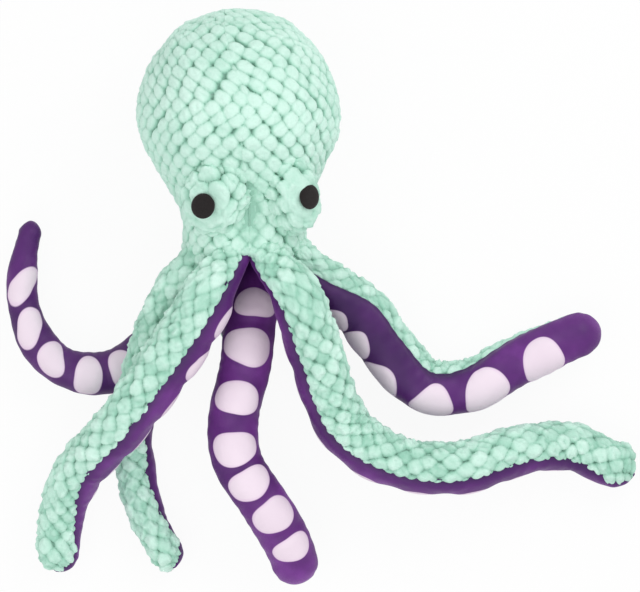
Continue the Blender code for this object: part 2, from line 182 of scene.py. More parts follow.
# Grids: their spacing, and the rows up a round end, which is a little over a quarter turn
FINE = 0.68 * MM
COARSE = 3 * MM
HEAD_ROWS = 300
HEAD_COLUMNS = 262
LINING_COLUMNS = 14
HEAD_LINING_COLUMNS = 40
FILLING_COLUMNS, HEAD_FILLING_COLUMNS = 28, 60
EYE_ROWS, EYE_COLUMNS = 40, 72
PANEL_ROWS, PANEL_COLUMNS = 24, 72
END_ROWS = 1.6

# Bubbles of the plush
PUFF_ACROSS = 10.9 * MM
PUFF_ALONG = 13 * MM
PUFF_HEIGHT = 2.8 * MM
PUFF_SINK = 2.5 * MM
PUFF_STRAY = 0.16
PUFF_TURN = 0.5
DOME_TOP = 1.06
SLIT_DEPTH = 0.4 * MM
SLIT_WIDTH = 0.13
FLUFF_SIZE = 2.9 * MM
FLUFF_SLANT = 0.4
LINING_PUFF, LINING_TONE = 0.3, 0.5

# The arms' plush tops. The edge laps over the underside: at least, in a scallop and by chance
ARM_RUFFLE = 0.95 * MM
# Painted shade: the share by which the arms' plush is drawn darker than the head's
ARM_PAINTED_SHADE = 0.87
ARM_UNEVEN = 0.42
ARM_PUFF_LEAN = 0.9
ARM_LUMPS, ARM_LUMP_SIZE = 0.5 * MM, 34 * MM
LAP_LEAST, LAP_SCALLOP, LAP_CHANCE = 0.7 * MM, 1.7 * MM, 0.5 * MM
TUCK_LAP, TUCK_DEPTH, TUCK_WIDTH = 1.3, 2.2 * MM, 9 * MM
WRAP_REACH = 22 * MM
EDGE_WIDTH, EDGE_DROP = 2.8 * MM, 2.1 * MM
POLE_HEIGHT = 0.8

# The arms' knit undersides
SEAM_DRAW, SEAM_DRAW_WIDTH = 2 * MM, 4 * MM
PUCKER, PUCKER_WIDTH, PUCKER_LENGTH = 0.4 * MM, 8 * MM, 8.5 * MM
KNIT_LUMPS, KNIT_LUMP_SIZE = 0.55 * MM, 38 * MM
KNIT_FULL = 1 * MM
DISC_SWELL, DISC_RISE, DISC_SINK = 1.6 * MM, 10 * MM, 0.4 * MM
DISC_POWER = 2.3
DISC_UNEVEN = 0.05
SEAM_SHADE_WIDTH = 4.5 * MM
# How far the painted shadow on the knit fades out along an arm
PAINTED_SHADOW_FADE = 45 * MM
NO_DISC = -9.0

# What lies inside, and the floor
LINING_DEPTH = 3.2 * MM
HEAD_LINING = 3.6 * MM
FILLING_DEPTH = 3.9 * MM
FILLING_LUMPS, FILLING_LUMP_SIZE = 0.35 * MM, 12 * MM
HEAD_FILLING_DEPTH = 5.5 * MM
FLOOR_GAP = 0.2 * MM
ROOT_WIDER = 1.2 * MM
BEND_HALF = 15 * MM

# The head
SEAM_LAP = 0.007
SEAM_DIP = 1.6 * MM
HEAD_SLACK = 0.8 * MM
HEAD_RUFFLE = 0.42 * MM
HEAD_LUMPS, HEAD_LUMP_SIZE = 0.9 * MM, 46 * MM
HEAD_SLANT = radians(6)
HEAD_PUFF_LEAN = radians(48)
HEAD_PUFF_HALVES = 6 * MM, 5 * MM
BACK_ROWS_FROM, BACK_ROWS_OVER = radians(78), radians(24)
CROWN_PUFF_LEAN = 0.4
CAP_REACH, CAP_OVER = 22 * MM, 14 * MM
FOREHEAD_BELOW, FOREHEAD_WIDTH, FOREHEAD_LENGTH = 56 * MM, 9 * MM, 20 * MM
FOREHEAD_SINK = 3.6 * MM
LIP_RADIUS = 7 * MM
LIP_ABOVE_NECK = 5 * MM

# The photograph, in pixels and metres a pixel, and the camera
PICTURE_WIDE, PICTURE_HIGH = 640, 592
SEAM_COLUMN, WIDEST_ROW = 240, 118
PIXEL = 0.00057
CAMERA_HEIGHT = 4.0
SCALE_HEIGHT = 0.03
SENSOR = 36.0

# The head's outline, in millimetres: (above the widest place, reach to the left of the seam, to its right)
HEAD_EDGES = (
    (0, 57.7, 56.3), (-12.5, 55.2, 54.7), (-26.2, 49, 49), (-39.9, 41, 43.3), (-53.6, 33.9, 39.5),
    (-67, 32.6, 38.4), (-80, 33, 39),
)
# The face seam, in millimetres: (above the widest place, to the right of the back seam)
FACE_SEAM = ((-80, 5.7), (-50, 5.7), (-30, 3), (-16, 1.7), (6, 5.7), (25, -2), (50, -8), (61.5, -8))


def smooth(t):
    """A smooth step from 0 to 1: 3t² less 2t³."""
    t = np.clip(t, 0.0, 1.0)
    return t * t * (3.0 - 2.0 * t)


def bell(distance, width):
    """A bell curve: e to the power of minus the square of the distance as a share of the width."""
    return np.exp(-(distance / width) ** 2)


def read_table(rows, share):
    """Read a table of (share, value) rows, with a smooth step between one row and the next."""
    share = np.asarray(share, float)
    value = np.full(share.shape, float(rows[0][1]))
    for (low, start), (high, end) in zip(rows, rows[1:]):
        value += (end - start) * smooth((share - low) / (high - low))
    return value


def soft_line(x, xs, ys):
    """A smooth line through points, of cubics whose slope at a point is that of its neighbours."""
    xs, ys = np.array(xs, float), np.array(ys, float)
    slopes = np.gradient(ys, xs)
    i = np.clip(np.searchsorted(xs, x) - 1, 0, len(xs) - 2)
    step = xs[i + 1] - xs[i]
    t = np.clip((x - xs[i]) / step, 0.0, 1.0)
    start = ys[i] * (1 + 2 * t) * (1 - t) ** 2 + slopes[i] * step * t * (1 - t) ** 2
    return start + ys[i + 1] * t * t * (3 - 2 * t) - slopes[i + 1] * step * t * t * (1 - t)


def hashed(i, j, seed):
    """A number from 0 to 1 for each whole place (i, j): the part of a large sine after the point."""
    return np.modf(np.abs(np.sin(i * 127.1 + j * 311.7 + seed * 74.7) * 43758.5453))[0]


def lumps(u, v, size, seed):
    """Uneven stuffing, from about -1 to 1: six sine waves of about that size."""
    chosen = np.random.default_rng(seed)
    total = np.zeros(np.broadcast(u, v).shape)
    for turn, phase, share in zip(*chosen.uniform(0, 1, (3, 6))):
        run = u * cos(tau * turn) + v * sin(tau * turn)
        total += np.sin(run * tau / (size * (0.6 + share)) + tau * phase)
    return total / 3.5


def no_bubbles(shape):
    """Plush without bubbles yet: the height, the second height and the tone at each place."""
    return np.zeros(shape), np.zeros(shape), np.zeros(shape)


def add_dome(bubbles, du, dv, lean, halves, own, uneven=0.16):
    """Add a bubble: a dome, the 0.55th power of 1 less the 3.6th power of the distance from its middle as a
    share of its half widths. The highest dome at a place shows, and the next one tells how near the slit
    between them is. uneven: how much lower than the highest bubble the lowest one is."""
    height, second, tone = bubbles
    long_way = du * np.cos(lean) + dv * np.sin(lean)
    short_way = dv * np.cos(lean) - du * np.sin(lean)
    reach = (long_way / halves[0]) ** 2 + (short_way / halves[1]) ** 2
    dome = np.clip(1 - reach ** 1.8, 0, 1) ** 0.55 * (DOME_TOP - uneven * (1 - own))
    behind = np.maximum(second, np.minimum(dome, height))
    return np.maximum(dome, height), behind, np.where(dome > height, own, tone)


def merged(first, second, share):
    """Two layings of bubbles as one: as share goes from 0 to 1 the first fades and the second comes in, both
    whole halfway."""
    stay, come = smooth(2 - 2 * share), smooth(2 * share)
    own, other = [part * stay for part in first[:2]], [part * come for part in second[:2]]
    higher = own[0] > other[0]
    behind = np.maximum(np.minimum(own[0], other[0]), np.where(higher, own[1], other[1]))
    return np.maximum(own[0], other[0]), behind, np.where(higher, first[2], second[2])


def finished(bubbles):
    """Bubbles with the thin slits between them: the height falls by a bell curve where two domes meet."""
    height, second, tone = bubbles
    return height - bell(height - second, SLIT_WIDTH) * SLIT_DEPTH / PUFF_HEIGHT, tone


def fluff(u, v, seed):
    """The ruffled pile, from about -1 to 1: a number for each corner of small squares, with smooth steps
    between them, and the same again at half the size and height."""
    total = np.zeros(np.broadcast(u, v).shape)
    for octave in (1, 2):
        x = u * octave / FLUFF_SIZE + 13.7 * octave
        y = (v + FLUFF_SLANT * u) * octave / FLUFF_SIZE
        i, j = np.floor(x), np.floor(y)
        a, b = smooth(x - i), smooth(y - j)
        low = hashed(i, j, seed) * (1 - a) + hashed(i + 1, j, seed) * a
        high = hashed(i, j + 1, seed) * (1 - a) + hashed(i + 1, j + 1, seed) * a
        total += (2 * (low * (1 - b) + high * b) - 1) / octave
    return total


def puffs(u, v, seed, lean, halves=(5.9 * MM, 5.3 * MM), uneven=0.16):
    """The bubbles of the plush, at the corners and in the middle of cells, each moved a little. lean turns
    their long way from the u direction to the v direction."""
    bubbles = no_bubbles(u.shape)
    for half in (0.0, 0.5):
        near_i = np.round(u / PUFF_ACROSS - half)
        near_j = np.round(v / PUFF_ALONG - half)
        for di in (-1, 0, 1):
            for dj in (-1, 0, 1):
                i, j = near_i + di + half, near_j + dj + half
                own = hashed(i * 2, j * 2, seed)
                du = u - (i + PUFF_STRAY * (hashed(j * 2, i * 2, seed + 5) - 0.5)) * PUFF_ACROSS
                dv = v - (j + PUFF_STRAY * (own - 0.5)) * PUFF_ALONG
                turned = lean + PUFF_TURN * (hashed(i * 2, j * 2, seed + 9) - 0.5)
                bubbles = add_dome(bubbles, du, dv, turned, halves, own, uneven)
    return bubbles


def unit(vectors):
    """Vectors of length 1 in the same directions."""
    return vectors / np.maximum(np.linalg.norm(vectors, axis=-1, keepdims=True), 1e-12)


def close_ends(points):
    """Draw the first and the last ring of a grid together, each to its middle."""
    points[0], points[-1] = points[0].mean(axis=0), points[-1].mean(axis=0)
    return points


def closed_skin(name, points, finish, values=None):
    """An object from a grid of points (rows, columns), each row a ring. values: what an attribute is on the
    columns that show, and on the lining's. Points that fall together are one corner. Faces are turned
    outwards: the volume, a sixth of the sum of the triangles' triple products, has to be positive."""
    flat = points.reshape(-1, 3)
    cells = np.round(flat / 1e-7).astype(np.int64)
    _, first, index = np.unique(cells, axis=0, return_index=True, return_inverse=True)
    index = index.reshape(points.shape[:2])
    far = np.roll(index, -1, axis=1)
    quads = np.stack([index[:-1], index[1:], far[1:], far[:-1]], axis=-1).reshape(-1, 4)
    own = quads != np.roll(quads, 1, axis=1)
    sides = own.sum(axis=1)
    fours, threes = quads[sides == 4], quads[sides == 3][own[sides == 3]].reshape(-1, 3)
    corners = flat[first]
    triangles = np.vstack([threes, fours[:, [0, 1, 2]], fours[:, [0, 2, 3]]])
    a, b, c = (corners[triangles[:, k]] - corners.mean(axis=0) for k in range(3))
    if np.einsum("ij,ij->i", a, np.cross(b, c)).sum() < 0:
        fours, threes = fours[:, ::-1], threes[:, ::-1]
    mesh = bpy.data.meshes.new(name)
    mesh.from_pydata(corners.tolist(), [], fours.tolist() + threes.tolist())
    mesh.shade_smooth()
    for key, (shown, hidden) in (values or {}).items():
        value = np.full(points.shape[:2] + shown.shape[2:], hidden)
        value[:, :shown.shape[1]] = shown
        kind, field = ("FLOAT_VECTOR", "vector") if value.ndim == 3 else ("FLOAT", "value")
        layer = mesh.attributes.new(key, kind, "POINT")
        layer.data.foreach_set(field, value.reshape(len(flat), -1)[first].astype(np.float32).ravel())
    mesh.materials.append(finish)
    made = bpy.data.objects.new(name, mesh)
    bpy.context.scene.collection.objects.link(made)
    return made


class Route:
    """A smooth line through points, measured along its length: each stretch is a Catmull-Rom cubic."""

    def __init__(self, points, start):
        points = np.array(points)
        before = points[0] - start * np.linalg.norm(points[1] - points[0])
        ends = np.vstack([before, points, points[-1] * 2 - points[-2]])
        t = (np.arange(1, 61) / 60)[:, None]
        line = [points[:1]]
        for a, b, c, d in zip(ends, ends[1:], ends[2:], ends[3:]):
            slope, curve, turn = c - a, a * 2 - b * 5 + c * 4 - d, b * 3 - a - c * 3 + d
            line.append((b * 2 + slope * t + curve * t ** 2 + turn * t ** 3) / 2)
        self.line = np.vstack(line)
        self.lengths = np.concatenate([[0.0], np.cumsum(np.linalg.norm(np.diff(self.line, axis=0), axis=1))])
        self.length = self.lengths[-1]

    def at(self, along):
        """The places at lengths along the line."""
        return np.stack([np.interp(along, self.lengths, self.line[:, k]) for k in range(3)], axis=-1)

    def heading(self, along):
        """The line's directions there, from places a little before and after."""
        return unit(self.at(along + 1.5 * MM) - self.at(along - 1.5 * MM))


class Head:
    """The axis and the widths of the head."""

    def __init__(self):
        self.seam_x = -SEAM_TO_REST
        self.belly = HEAD_WIDTH / 2 - BACK_FLAT_DEPTH
        self.neck = np.array([self.seam_x + NECK_SHIFT, -NECK_REACH, NECK_HEIGHT])
        share = sin(pi / ARMS_IN_RING)
        self.ring_radius = NECK_WIDTH / 2 / (1 + share)
        self.root_radius = self.ring_radius * share - ROOT_CLEARANCE / 2

    def crown(self, y):
        """What share of its width the head still has above its widest place: a quarter ellipse."""
        return np.sqrt(np.clip(1 - (np.maximum(y, 0) / CROWN_REACH) ** 2, 0, 1))

    def waist(self, y):
        """Half the head's height below its widest place: half a cosine wave down to the neck."""
        low = NECK_WIDTH / 2
        return low + (HEAD_WIDTH / 2 - low) * (1 + np.cos(pi * np.clip(-y / WAIST_REACH, 0, 1))) / 2

    def depth(self, y):
        """Half the head's height, above and below its widest place."""
        return np.where(y > 0, HEAD_WIDTH / 2 * self.crown(y), self.waist(y)) - HEAD_SLACK

    def middle_height(self, y):
        """The axis's height: it drops smoothly towards the neck."""
        return self.belly + (self.neck[2] - self.belly) * smooth(-y / NECK_REACH)

    def sides(self, y):
        """The axis's place across and half the width, from the outline's reach to either side."""
        rows = np.array(HEAD_EDGES)[::-1] * MM
        left = soft_line(np.minimum(y, 0), rows[:, 0], rows[:, 1])
        right = soft_line(np.minimum(y, 0), rows[:, 0], rows[:, 2])
        return self.seam_x + (right - left) / 2, (right + left) / 2 * self.crown(y)

    def meridian(self, sink=0.0):
        """Places down the head at even lengths: the place along the axis, the share of the width and the
        length. Below the neck the skin turns in round a lip and closes across the axis."""
        many, few = 400, 60
        end = -NECK_REACH + LIP_ABOVE_NECK
        bottom = end - LIP_RADIUS + sink
        top = (CROWN_REACH - sink) * np.cos(np.linspace(0, pi / 2, many))
        waist = np.linspace(0, end, many)[1:]
        turn = np.linspace(0, pi / 2, few)[1:]
        low = NECK_WIDTH / 2
        y = np.concatenate([top, waist, end - (LIP_RADIUS - sink) * np.sin(turn), np.full(few, bottom)])
        lip = 1 - (1 - np.cos(turn)) * LIP_RADIUS / low
        across = np.linspace(1 - LIP_RADIUS / low, 0, few + 1)[1:]
        share = np.concatenate([np.ones(len(top) + len(waist)), lip, across])
        stretched = y * CROWN_REACH / (CROWN_REACH - sink) if sink else y
        width = self.sides(np.minimum(stretched, CROWN_REACH))[1] * share
        length = np.concatenate([[0.0], np.cumsum(np.hypot(np.diff(y), np.diff(width)))])
        even = np.linspace(0, length[-1], HEAD_ROWS)
        return np.interp(even, length, y), np.interp(even, length, share), even

    def skin(self, angle, sink=0.0):
        """The head's surface: an ellipse round the axis at each place down the meridian. angle is 0 on the
        face side and grows to the right."""
        y, share, _ = self.meridian(sink)
        scaled = y * CROWN_REACH / (CROWN_REACH - sink)
        scaled = np.where(y > 0, scaled, y)
        middle, wide = self.sides(scaled)
        wide = np.maximum(wide - sink, 0) * share
        high = np.maximum(self.depth(scaled) - sink, 0) * share
        across = middle[:, None] + wide[:, None] * np.sin(angle)
        height = self.middle_height(y)[:, None] + high[:, None] * np.cos(angle)
        return np.stack([across, np.broadcast_to(y[:, None], across.shape), height], axis=-1)


class Arm:
    """The line, the thickness and the joints of one arm."""

    def __init__(self, name, place, head):
        table = ARM_DEFAULTS | ARMS[name]
        angle = tau * (place + 0.5) / ARMS_IN_RING
        self.name = name
        self.seed = 20 + place
        self.width_share, self.taper, self.swell = table["width"], table["taper"], table["swell"]
        self.wrap, self.tuck = table["wrap"], table["tuck"]
        self.nap, self.underside = table["nap"], table["underside"]
        self.root_radius = head.root_radius + ROOT_WIDER
        root = head.neck + np.array([cos(angle), 0, sin(angle)]) * head.ring_radius
        points = [root]
        for right, down, height in table["points"]:
            reach = [right * ARM_LENGTH, -down * ARM_LENGTH, height * ARM_WIDTH]
            points.append(head.neck * [1, 1, 0] + reach)
        start = np.array([cos(angle) * START_LEAN_SHARE, -1.0, 0.0])
        self.route = Route(points, unit(start))
        self.bend_at = self.route.length * table["bend"]
        self.columns = int(pi * ARM_WIDTH / 2 * self.width_share / FINE)
        self.tip_radius = ARM_WIDTH * self.width_share * self.taper / 2
        self.tip_at = self.route.length - self.tip_radius

    def radius(self, along):
        """Half the arm's thickness: it swells smoothly from the root and tapers to the tip."""
        full = ARM_WIDTH * self.width_share / 2 * (1 + (self.taper - 1) * (along / self.route.length) ** 2)
        return self.root_radius + (full - self.root_radius) * smooth(along / self.swell)

    def rows(self, spacing):
        """Work out the rings, as columns: the angle up the round ends, the radius, the underside's turn and
        the axes (centre, heading, right, up). Gives the length along the surface."""
        body = np.linspace(0, self.tip_at, int(self.tip_at / spacing))
        start = np.linspace(-pi / 2, 0, int(self.root_radius * END_ROWS / spacing), endpoint=False)
        end = np.linspace(0, pi / 2, int(self.tip_radius * END_ROWS / spacing))[1:]
        along = np.concatenate([start * 0, body, end * 0 + self.tip_at])
        ball = np.concatenate([start, body * 0, end])
        heading = self.route.heading(along)
        right = unit(np.cross(heading, [0.0, 0.0, 1.0]))
        up = np.cross(right, heading)
        radius = self.radius(along)
        turn = tau * read_table(self.underside, along / self.route.length)
        self.ball = ball[:, None]
        self.radii = radius[:, None]
        self.turn = turn[:, None]
        self.axes = self.route.at(along)[:, None], heading[:, None], right[:, None], up[:, None]
        return (along + radius * ball)[:, None]

    def skin(self, angle, height):
        """Points round the arm at angles from the middle of the underside, and heights over its thickness. At
        the round ends a ring shrinks with the cosine of its angle and moves on with the sine."""
        centre, heading, right, up = self.axes
        reach = (self.radii + height)[..., None]
        turned = (self.turn + angle)[..., None]
        ball = self.ball[..., None]
        out = right * np.cos(turned) + up * np.sin(turned)
        return centre + heading * reach * np.sin(ball) + out * reach * np.cos(ball)


def lay(points, lowest=FLOOR_GAP):
    """Press what would sink into the floor flat on it."""
    pressed = points.copy()
    pressed[..., 2] = np.maximum(points[..., 2], lowest)
    return pressed


def edge_roll(from_edge, width):
    """How far a thick cloth's edge turns down, from 0 to 1: 1 less the height of a quarter circle."""
    return 1 - np.sqrt(np.clip(1 - np.clip(1 - from_edge / width, 0, 1) ** 2, 0, 1))


def lined(arm, outer, middle, half):
    """Half a tube with its lining inside it. half is the angle from the middle to an edge."""
    back = np.linspace(1, -1, LINING_COLUMNS)[None, :]
    lining = arm.skin(middle + back * half, np.full(back.shape, -LINING_DEPTH))
    return np.concatenate([lay(outer), lay(lining, FLOOR_GAP + 1.2 * MM)], axis=1)


def arm_top(arm, finish):
    """The plush top: half a tube with bubbles, whose thick edge laps over the underside in scallops."""
    run = arm.rows(FINE)
    side = np.linspace(-1, 1, arm.columns + 4)[None, :]
    scallop = PUFF_ALONG / 2
    lap = LAP_LEAST + LAP_SCALLOP * np.abs(np.sin(run * pi / scallop + np.sign(side) * 0.8))
    lap += LAP_CHANCE * hashed(np.floor(run / scallop), np.sign(side), arm.seed)
    wrap = tau * arm.wrap * smooth(1 - (arm.route.length - run) / WRAP_REACH)
    half = pi / 2 + lap * (1 - TUCK_LAP * arm.tuck) / arm.radii + wrap
    around = side * half * arm.radii * np.cos(arm.ball)
    height, tone = finished(puffs(around, run, arm.seed, ARM_PUFF_LEAN, uneven=ARM_UNEVEN))
    pole = smooth(np.cos(arm.ball) / 0.3)
    height = height * pole + POLE_HEIGHT * (1 - pole)
    from_edge = (1 - np.abs(side)) * half * arm.radii
    ruffle = fluff(around, run, arm.seed) * pole * smooth((from_edge - 0.8 * MM) / (3.5 * MM))
    rise = height * PUFF_HEIGHT - PUFF_SINK + ARM_LUMPS * lumps(around, run, ARM_LUMP_SIZE, arm.seed) * pole
    rise += ARM_RUFFLE * ruffle
    # Painted light on the pile: its raised tufts are drawn paler and its dips darker
    height = height + 0.16 * ruffle
    rolled = edge_roll(from_edge, EDGE_WIDTH)
    rise = rise * (1 - rolled) - EDGE_DROP * rolled - TUCK_DEPTH * arm.tuck * bell(from_edge, TUCK_WIDTH)
    outer = arm.skin(pi + side * half, rise)
    # Painted shade: the arms' plush is drawn darker overall, and darker still where its edge rolls down
    return closed_skin(arm.name + "_top", lined(arm, outer, pi, half[:, :1]), finish, {
        "painted_puff_light": (height * (1 - 0.25 * rolled) * ARM_PAINTED_SHADE, LINING_PUFF), "tone": (tone, LINING_TONE),
    })


def arm_underside(arm, finish):
    """The knit underside: half a tube, drawn in and puckered along its seams, with pale discs on it."""
    run = arm.rows(FINE)
    side = np.linspace(-1, 1, arm.columns)[None, :]
    angle = side * pi / 2
    around = angle * arm.radii * np.cos(arm.ball)
    from_seam = (1 - np.abs(side)) * pi / 2 * arm.radii
    shift = np.sign(side) * 1.3 + 2.2 * lumps(around, run, 26 * MM, arm.seed + 40)
    wave = np.sin(run * tau / PUCKER_LENGTH + shift)
    pole = smooth(np.cos(arm.ball) / 0.4)
    drawn = SEAM_DRAW * bell(from_seam, SEAM_DRAW_WIDTH) * (1 + 0.3 * wave * pole)
    pucker = PUCKER * wave * bell(from_seam, PUCKER_WIDTH) * pole
    edge = disc_edge(arm, run, around)
    swell = KNIT_LUMPS * lumps(around, run, KNIT_LUMP_SIZE, arm.seed + 60) * pole
    swell = swell + DISC_SWELL * smooth(edge / DISC_RISE + 0.5) - DISC_SINK
    full = KNIT_FULL * smooth((run - 15 * MM) / (30 * MM))
    outer = arm.skin(angle, full + swell + pucker - drawn)
    # Painted shadow: the knit is drawn darker along the first stretch of some arms, fading out further along
    dark = arm.nap[0] * smooth((arm.nap[1] - run) / PAINTED_SHADOW_FADE + 0.5)
    threads = np.stack([around, run + around * 0, around * 0], axis=-1)
    # The seam value holds painted shade near the seams, where the plush laps over, and the painted shadow
    return closed_skin(arm.name + "_underside", lined(arm, outer, 0.0, pi / 2), finish, {
        "disc": (edge / MM, NO_DISC), "threads": (threads, 0.0),
        "seam": (np.maximum(dark, bell(from_seam, SEAM_SHADE_WIDTH)), 0.0),
    })


def disc_edge(arm, run, around):
    """How far inside the nearest disc's edge a place lies: (1 less its distance from the middle as a share of
    the half widths, uneven by a sine wave) times the smaller half width."""
    inside = np.full(np.broadcast(run, around).shape, -1.0)
    for along, aside, half_length, half_width, turn in arm_discs(arm):
        down, out = run - along, around - aside
        long_way = np.abs((down * cos(turn) + out * sin(turn)) / half_length)
        short_way = np.abs((out * cos(turn) - down * sin(turn)) / half_width)
        reach = (long_way ** DISC_POWER + short_way ** DISC_POWER) ** (1 / DISC_POWER)
        reach += DISC_UNEVEN * np.sin(3 * np.arctan2(out, down) + along * 900)
        inside = np.maximum(inside, (1 - reach) * min(half_length, half_width))
    return inside


def arm_discs(arm):
    """The places of an arm's discs: shown ones from the table, or evenly spaced down to the tip."""
    if arm.name in DISCS:
        rows = [row if len(row) > 4 else (*row, 0) for row in DISCS[arm.name]]
        return [(*(value * MM for value in row[:4]), radians(row[4])) for row in rows]
    count = int((arm.route.length - LAST_DISC) / DISC_SPACING)
    places = []
    for k in range(count):
        half = DISC_HALF * arm.width_share * (1 - 0.12 * k / count)
        places.append((FIRST_DISC + DISC_SPACING * (k + 0.5), 0.0, half, half * 1.05, 0.0))
    return places


def arm_filling(arm, finish):
    """The stuffing: a lumpy tube inside both fabrics."""
    run = arm.rows(COARSE)
    angle = np.linspace(0, tau, FILLING_COLUMNS, endpoint=False)[None, :]
    around = angle * arm.radii
    pole = smooth(np.cos(arm.ball) / 0.5)
    rise = FILLING_LUMPS * lumps(around, run, FILLING_LUMP_SIZE, arm.seed + 80) * pole - FILLING_DEPTH
    points = lay(arm.skin(angle, rise), FLOOR_GAP + 2.2 * MM)
    return closed_skin(arm.name + "_filling", points, finish)


def with_bubbles(base, rise):
    """Move a surface out by rise along its normals, the cross products of its steps down and across."""
    normal = unit(np.cross(*np.gradient(base, axis=(0, 1))))
    normal[0] = normal[1].mean(axis=0)
    normal[-1] = normal[-2].mean(axis=0)
    return base + unit(normal) * rise[..., None]


def head_bubbles(turn, run, wide, seed):
    """The bubbles on half of the head: a laying squared to the face seam, one to the back seam and one round
    the crown, so that none is drawn out of shape. Those at the seams run aslant."""
    layings = []
    for around in (turn * wide, (pi - turn) * wide):
        u = around * cos(HEAD_SLANT) - run * sin(HEAD_SLANT)
        v = run * cos(HEAD_SLANT) + around * sin(HEAD_SLANT)
        layings.append(puffs(u, v, seed, HEAD_PUFF_LEAN, HEAD_PUFF_HALVES))
    sides = merged(*layings, np.clip((turn - BACK_ROWS_FROM) / BACK_ROWS_OVER, 0, 1))
    crown = puffs(run * np.sin(turn), run * np.cos(turn), seed + 20, CROWN_PUFF_LEAN)
    cap = CAP_REACH * (1 + smooth(turn / 1.3))
    return merged(crown, sides, np.clip((run - cap) / CAP_OVER, 0, 1))


def head_panel(head, name, direction, finish):
    """One half of the head, from the face seam to the back seam. The halves mirror each other, so their
    slanting rows of bubbles meet in a chevron, and their edges dip at the seams."""
    y, share, run = (row[:, None] for row in head.meridian())
    middle, wide = head.sides(y)
    seam_rows = np.array(FACE_SEAM) * MM
    seam_x = head.seam_x + soft_line(y, seam_rows[:, 0], seam_rows[:, 1])
    seam_angle = np.arcsin(np.clip((seam_x - middle) / np.maximum(wide, 12 * MM), -0.9, 0.9))
    step = np.linspace(-SEAM_LAP, 1 + SEAM_LAP, HEAD_COLUMNS)[None, :]
    span = direction * pi - seam_angle
    angle = seam_angle + span * step
    turn = np.abs(angle - seam_angle)
    around = turn * (wide * share)
    height, tone = finished(head_bubbles(turn, run, wide * share, 3 if direction > 0 else 4))
    pole = smooth(share * wide / (7 * MM))
    height = height * pole + 0.75 * (1 - pole)
    forehead = bell(around, FOREHEAD_WIDTH) * bell(y + FOREHEAD_BELOW, FOREHEAD_LENGTH)
    height = height * (1 - 0.6 * forehead)
    ruffle = fluff(around, run, 5) * pole
    rise = height * PUFF_HEIGHT - PUFF_SINK + HEAD_LUMPS * lumps(around, run, HEAD_LUMP_SIZE, 11) * pole
    rise = rise + HEAD_RUFFLE * (1 + 1.2 * forehead) * ruffle - FOREHEAD_SINK * forehead
    rise = rise - SEAM_DIP * (smooth(-step / SEAM_LAP) + smooth((step - 1) / SEAM_LAP))
    # Painted light on the pile: its raised tufts are drawn paler and its dips darker
    height = height + 0.12 * ruffle
    outer = close_ends(with_bubbles(head.skin(angle), rise * direction))
    back = np.linspace(1 + SEAM_LAP, -SEAM_LAP, HEAD_LINING_COLUMNS)[None, :]
    lining = close_ends(head.skin(seam_angle + span * back, HEAD_LINING))
    points = np.concatenate([lay(outer), lay(lining, 3 * MM)], axis=1)
    return closed_skin(name, points, finish, {"painted_puff_light": (height, LINING_PUFF), "tone": (tone, LINING_TONE)})


def head_filling(head, finish):
    """The head's stuffing: the head's form, well inside its skin, on every fourth row."""
    angle = np.linspace(0, tau, HEAD_FILLING_COLUMNS, endpoint=False)[None, :]
    rows = head.skin(angle, HEAD_FILLING_DEPTH)
    points = close_ends(np.concatenate([rows[::4], rows[-1:]]))
    return closed_skin("head_filling", lay(points, 5 * MM), finish)


def leaned(lean):
    """The right and outward directions of something leaned to the right round the head's axis."""
    turn = tau * lean
    return np.array([cos(turn), 0.0, -sin(turn)]), np.array([sin(turn), 0.0, cos(turn)])


def mound_seat(head, side):
    """The middle of an eye mound, its three widths and its lean, as in the model."""
    right, up, lean, wide = MOUND_SHARES[side]
    y = head.neck[1] + up * NECK_WIDTH
    across = head.neck[0] + right * NECK_WIDTH
    middle_x = head.seam_x + (head.neck[0] - head.seam_x) * smooth(-y / NECK_REACH)
    rise = np.sqrt(head.waist(y) ** 2 - (across - middle_x) ** 2)
    _, outward = leaned(lean)
    centre = np.array([across, y, head.middle_height(y) + rise]) - outward * MOUND_DEPTH
    return centre, (MOUND_WIDTH * wide, MOUND_LENGTH, (MOUND_DEPTH + MOUND_RISE) * 2), lean


def petals(u, v, seed):
    """Bubbles in rings round an eye: each ring's bubbles are long towards the eye. Near it they are faint."""
    bubbles = no_bubbles(u.shape)
    for ring, (count, *sizes) in enumerate(PETAL_RINGS):
        far, *halves = (size * MM for size in sizes)
        for k in range(count):
            own = float(hashed(np.float64(k), np.float64(ring), seed))
            turn = tau * (k + 0.5 * (ring % 2) + 0.4 * (own - 0.5)) / count
            reach = far * (0.94 + 0.12 * own)
            bubbles = add_dome(bubbles, u - cos(turn) * reach, v - sin(turn) * reach, turn, halves, own)
    height, tone = finished(bubbles)
    rim = smooth((np.hypot(u, v) - 7 * MM) / (8 * MM))
    return PETAL_REST + (height - PETAL_REST) * (0.25 + 0.75 * rim), tone


def cushion(centre, lean, tilt, size, power, rows, columns):
    """An oval cushion that leans to the right and tilts out of the face, with the angles down and round it.
    Its width at a ring is a power of a sine: the lower the power, the fuller the edge."""
    down = np.linspace(0, pi, rows)[:, None]
    round_it = np.linspace(0, tau, columns, endpoint=False)[None, :]
    right, _ = leaned(lean)
    long_way = np.array([0.0, cos(tilt), sin(tilt)])
    full = np.sin(down) ** power
    ways = np.cos(round_it) * full, np.sin(round_it) * full, np.cos(down) + 0 * round_it
    directions = right, long_way, unit(np.cross(right, long_way))
    steps = [way[..., None] * wide / 2 * direction for way, wide, direction in zip(ways, size, directions)]
    return centre + sum(steps), down, round_it


